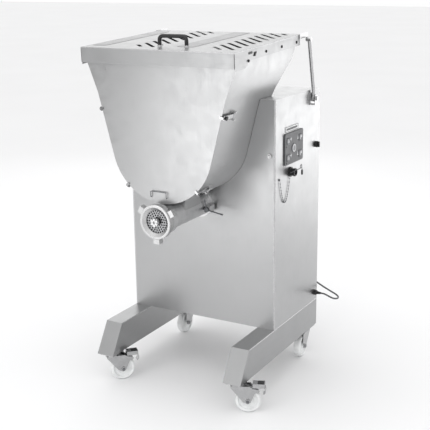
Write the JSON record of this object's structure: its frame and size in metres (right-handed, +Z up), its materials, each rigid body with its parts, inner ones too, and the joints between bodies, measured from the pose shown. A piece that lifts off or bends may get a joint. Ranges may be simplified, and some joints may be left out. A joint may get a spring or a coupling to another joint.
{
  "type": "electric meat grinder",
  "caption": "Floor-standing stainless mixer-grinder with a bell-shaped trough hopper, slotted swing-over lid, grinding head, side control panel and swivel casters.",
  "frame": {"origin": "on the floor, under the middle of the whole machine's box (the box includes the casters where they stand, so the machine's centre plane is at x = -0.021 m)", "axes": "+Z up, +Y to the rear of the machine, the grinding head points along -Y, +X is the control-panel side"},
  "size_m": [0.7924, 0.826, 1.4254],
  "materials": {
    "steel_sheet": "brushed stainless sheet",
    "steel_bright": "satin stainless, turned or cast",
    "hole_plate_steel": "ground tool steel",
    "dark_steel": "oiled steel",
    "fork_steel": "pressed and polished stainless",
    "motor_paint": "hammered grey-blue paint",
    "housing_cast": "painted casting",
    "bearing_steel": "ground bearing rings",
    "box_paint": "light grey powder coat",
    "nylon_white": "white nylon, slightly satin",
    "plastic_black": "black moulded plastic",
    "panel_grey": "dark grey membrane",
    "key_grey": "grey soft key",
    "key_light": "light grey button",
    "plate_white": "blank white plate",
    "cord_grey": "grey rubber-sheathed cord",
    "screw_black": "black oxide screw"
  },
  "bodies": {
    "machine": {"base_frame": "steel_sheet", "leg_left": "steel_sheet", "leg_right": "steel_sheet", "cabinet_shell": "steel_sheet", "rear_cover": "steel_sheet", "panel_screws": "screw_black", "hopper_shell": "steel_sheet", "hopper_front_panel": "steel_sheet", "hopper_rim": "steel_sheet", "inlet_neck": "steel_sheet", "grinder_barrel": "steel_bright", "head_flange": "steel_bright", "hole_plate": "hole_plate_steel", "tray_hook": "steel_bright", "arm_brackets": "steel_bright", "control_panel": "panel_grey", "rating_plate": "plate_white", "power_socket": "plastic_black", "cap_chain": "steel_bright", "front_boss": "panel_grey", "cable_gland": "plastic_black", "power_cord": "cord_grey", "cord_coil": "cord_grey", "mains_plug": "plastic_black", "electrical_box": "box_paint", "gear_housing": "housing_cast", "grinder_motor": "motor_paint", "mixer_gearmotor": "motor_paint", "shaft_bearings": "bearing_steel"},
    "lid": {"lid_panel": "steel_sheet", "lid_handle": "plastic_black", "lid_arms": "steel_bright"},
    "grinder_drive": {"worm_screw": "steel_bright", "cutting_knife": "hole_plate_steel", "drive_gear": "dark_steel"},
    "pinion": {"motor_pinion": "dark_steel"},
    "paddle": {"mixing_paddle": "steel_bright"},
    "nut": {"ring_nut": "steel_bright"},
    "clamp": {"clamp_lever": "steel_bright"},
    "latch_upper_right": {"latch_upper_right": "steel_bright"},
    "latch_upper_left": {"latch_upper_left": "steel_bright"},
    "latch_lower_right": {"latch_lower_right": "steel_bright"},
    "latch_lower_left": {"latch_lower_left": "steel_bright"},
    "bail": {"socket_bail": "steel_bright"},
    "knob": {"cover_knob": "plastic_black"},
    "key_start": {"key_start": "key_light"},
    "key_forward": {"key_forward": "key_grey"},
    "key_reverse": {"key_reverse": "key_grey"},
    "key_mix": {"key_mix": "key_grey"},
    "key_stop": {"key_stop": "key_grey"},
    "caster_front_right": {"fork_front_right": "fork_steel"},
    "wheel_front_right": {"wheel_front_right": "nylon_white"},
    "caster_front_left": {"fork_front_left": "fork_steel"},
    "wheel_front_left": {"wheel_front_left": "nylon_white"},
    "caster_rear_right": {"fork_rear_right": "fork_steel"},
    "wheel_rear_right": {"wheel_rear_right": "nylon_white"},
    "caster_rear_left": {"fork_rear_left": "fork_steel"},
    "wheel_rear_left": {"wheel_rear_left": "nylon_white"},
    "pedal_right": {"pedal_right": "fork_steel"},
    "pedal_left": {"pedal_left": "fork_steel"}
  },
  "joints": [
    {"name": "lid_swing", "type": "hinge", "parent": "machine", "child": "lid", "pos_m": [-0.021, 0.27, 1.137], "axis": [-1, 0, 0], "range_deg": [0, 95]},
    {"name": "grinder_spin", "type": "hinge", "parent": "machine", "child": "grinder_drive", "pos_m": [-0.021, -0.018, 0.741], "axis": [0, -1, 0], "continuous": true},
    {"name": "pinion_spin", "type": "hinge", "parent": "machine", "child": "pinion", "pos_m": [-0.021, -0.018, 0.621], "axis": [0, -1, 0], "continuous": true},
    {"name": "paddle_spin", "type": "hinge", "parent": "machine", "child": "paddle", "pos_m": [-0.021, -0.168, 1.018], "axis": [0, -1, 0], "continuous": true},
    {"name": "nut_turn", "type": "hinge", "parent": "machine", "child": "nut", "pos_m": [-0.021, -0.386, 0.741], "axis": [0, -1, 0], "range_deg": [0, 360]},
    {"name": "clamp_turn", "type": "hinge", "parent": "machine", "child": "clamp", "pos_m": [0.039, -0.108, 0.729], "axis": [0, 1, 0], "range_deg": [0, 90]},
    {"name": "latch_upper_right_lift", "type": "hinge", "parent": "machine", "child": "latch_upper_right", "pos_m": [0.24657, -0.276, 1.1417], "axis": [0.2557, 0, 0.9668], "range_deg": [0, 120]},
    {"name": "latch_lower_right_lift", "type": "hinge", "parent": "machine", "child": "latch_lower_right", "pos_m": [0.13669, -0.276, 0.85471], "axis": [0.7193, 0, 0.6947], "range_deg": [0, 120]},
    {"name": "latch_upper_left_lift", "type": "hinge", "parent": "machine", "child": "latch_upper_left", "pos_m": [-0.28857, -0.276, 1.1417], "axis": [0.2557, 0, -0.9668], "range_deg": [0, 120]},
    {"name": "latch_lower_left_lift", "type": "hinge", "parent": "machine", "child": "latch_lower_left", "pos_m": [-0.17869, -0.276, 0.85471], "axis": [0.7193, 0, -0.6947], "range_deg": [0, 120]},
    {"name": "bail_swing", "type": "hinge", "parent": "machine", "child": "bail", "pos_m": [0.323, 0.067, 0.872], "axis": [0, 1, 0], "range_deg": [-15, 60]},
    {"name": "knob_turn", "type": "hinge", "parent": "machine", "child": "knob", "pos_m": [0.319, 0.318, 0.939], "axis": [1, 0, 0], "range_deg": [0, 90]},
    {"name": "key_start_press", "type": "slide", "parent": "machine", "child": "key_start", "axis": [-1, 0, 0], "range_m": [0, 0.0018], "stiffness_N_per_m": 600},
    {"name": "key_forward_press", "type": "slide", "parent": "machine", "child": "key_forward", "axis": [-1, 0, 0], "range_m": [0, 0.0018], "stiffness_N_per_m": 600},
    {"name": "key_reverse_press", "type": "slide", "parent": "machine", "child": "key_reverse", "axis": [-1, 0, 0], "range_m": [0, 0.0018], "stiffness_N_per_m": 600},
    {"name": "key_mix_press", "type": "slide", "parent": "machine", "child": "key_mix", "axis": [-1, 0, 0], "range_m": [0, 0.0018], "stiffness_N_per_m": 600},
    {"name": "key_stop_press", "type": "slide", "parent": "machine", "child": "key_stop", "axis": [-1, 0, 0], "range_m": [0, 0.0018], "stiffness_N_per_m": 600},
    {"name": "swivel_front_right", "type": "hinge", "parent": "machine", "child": "caster_front_right", "pos_m": [0.273, -0.316, 0.11], "axis": [0, 0, 1], "continuous": true},
    {"name": "roll_front_right", "type": "hinge", "parent": "caster_front_right", "child": "wheel_front_right", "pos_m": [0.31258, -0.2992, 0.05], "axis": [-0.3907, 0.9205, 0], "continuous": true},
    {"name": "swivel_front_left", "type": "hinge", "parent": "machine", "child": "caster_front_left", "pos_m": [-0.315, -0.316, 0.11], "axis": [0, 0, 1], "continuous": true},
    {"name": "roll_front_left", "type": "hinge", "parent": "caster_front_left", "child": "wheel_front_left", "pos_m": [-0.28513, -0.28507, 0.05], "axis": [-0.7193, 0.6947, 0], "continuous": true},
    {"name": "swivel_rear_right", "type": "hinge", "parent": "machine", "child": "caster_rear_right", "pos_m": [0.273, 0.31, 0.11], "axis": [0, 0, 1], "continuous": true},
    {"name": "roll_rear_right", "type": "hinge", "parent": "caster_rear_right", "child": "wheel_rear_right", "pos_m": [0.276, 0.2671, 0.05], "axis": [0.9976, 0.0698, 0], "continuous": true},
    {"name": "swivel_rear_left", "type": "hinge", "parent": "machine", "child": "caster_rear_left", "pos_m": [-0.315, 0.31, 0.11], "axis": [0, 0, 1], "continuous": true},
    {"name": "roll_rear_left", "type": "hinge", "parent": "caster_rear_left", "child": "wheel_rear_left", "pos_m": [-0.31575, 0.26701, 0.05], "axis": [0.9998, -0.0175, 0], "continuous": true},
    {"name": "brake_right_press", "type": "hinge", "parent": "caster_front_right", "child": "pedal_right", "pos_m": [0.34664, -0.28474, 0.092], "axis": [-0.3907, 0.9205, 0], "range_deg": [0, 10], "stiffness_Nm_per_rad": 2},
    {"name": "brake_left_press", "type": "hinge", "parent": "caster_front_left", "child": "pedal_left", "pos_m": [-0.25943, -0.25845, 0.092], "axis": [-0.7193, 0.6947, 0], "range_deg": [0, 10], "stiffness_Nm_per_rad": 2}
  ],
  "couplings": [
    {"joint": "pinion_spin", "follows": "grinder_spin", "ratio": -3}
  ]
}
